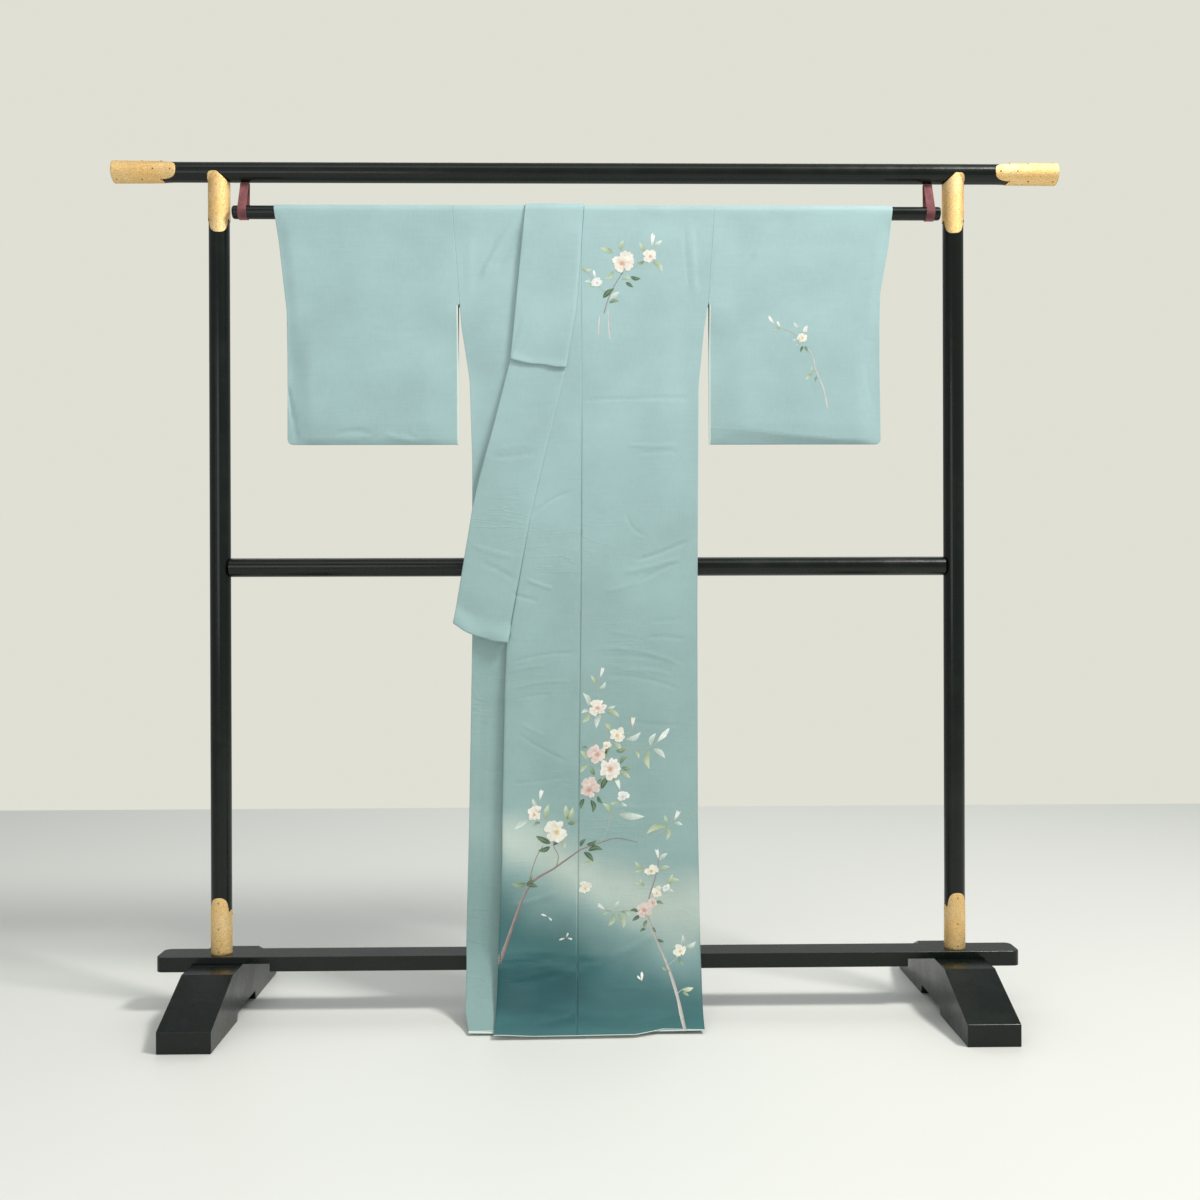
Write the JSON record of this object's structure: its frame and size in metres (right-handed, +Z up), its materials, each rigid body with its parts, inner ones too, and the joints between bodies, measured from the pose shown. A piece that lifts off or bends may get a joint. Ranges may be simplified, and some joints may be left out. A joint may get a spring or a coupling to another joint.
{
  "type": "silk kimono on a kimono stand",
  "caption": "Pale blue-green silk kimono with a flower hem, spread flat over a rod hung from a black lacquered stand with gilt fittings; its hem curls forward on the floor.",
  "frame": {"origin": "on the floor under the centre of the stand", "axes": "+Z up, +X along the beam to the garment's own left (the viewer's right), -Y towards the viewer, whom the garment's front faces"},
  "size_m": [1.8108, 0.4482, 1.6255],
  "materials": {
    "silk": "matt crepe silk, pale blue-green, darker teal towards the hem",
    "lacquer": "glossy black lacquer on wood",
    "gilt": "gilt metal with fine punched ground",
    "velvet": "dark red velvet band"
  },
  "bodies": {
    "root": {"body_right": "silk", "body_left": "silk", "okumi_right": "silk", "okumi_left": "silk", "collar_right": "silk", "collar_left": "silk", "over_collar": "silk", "sleeve_right": "silk", "sleeve_left": "silk", "top_beam": "lacquer", "middle_rail": "lacquer", "base_board": "lacquer", "rod": "lacquer", "post_right": "lacquer", "post_left": "lacquer", "foot_right": "lacquer", "foot_left": "lacquer", "beam_cap_right": "gilt", "beam_cap_left": "gilt", "post_top_fitting_right": "gilt", "post_top_fitting_left": "gilt", "post_foot_fitting_right": "gilt", "post_foot_fitting_left": "gilt", "rod_loop_right": "velvet", "rod_loop_left": "velvet"}
  },
  "joints": []
}
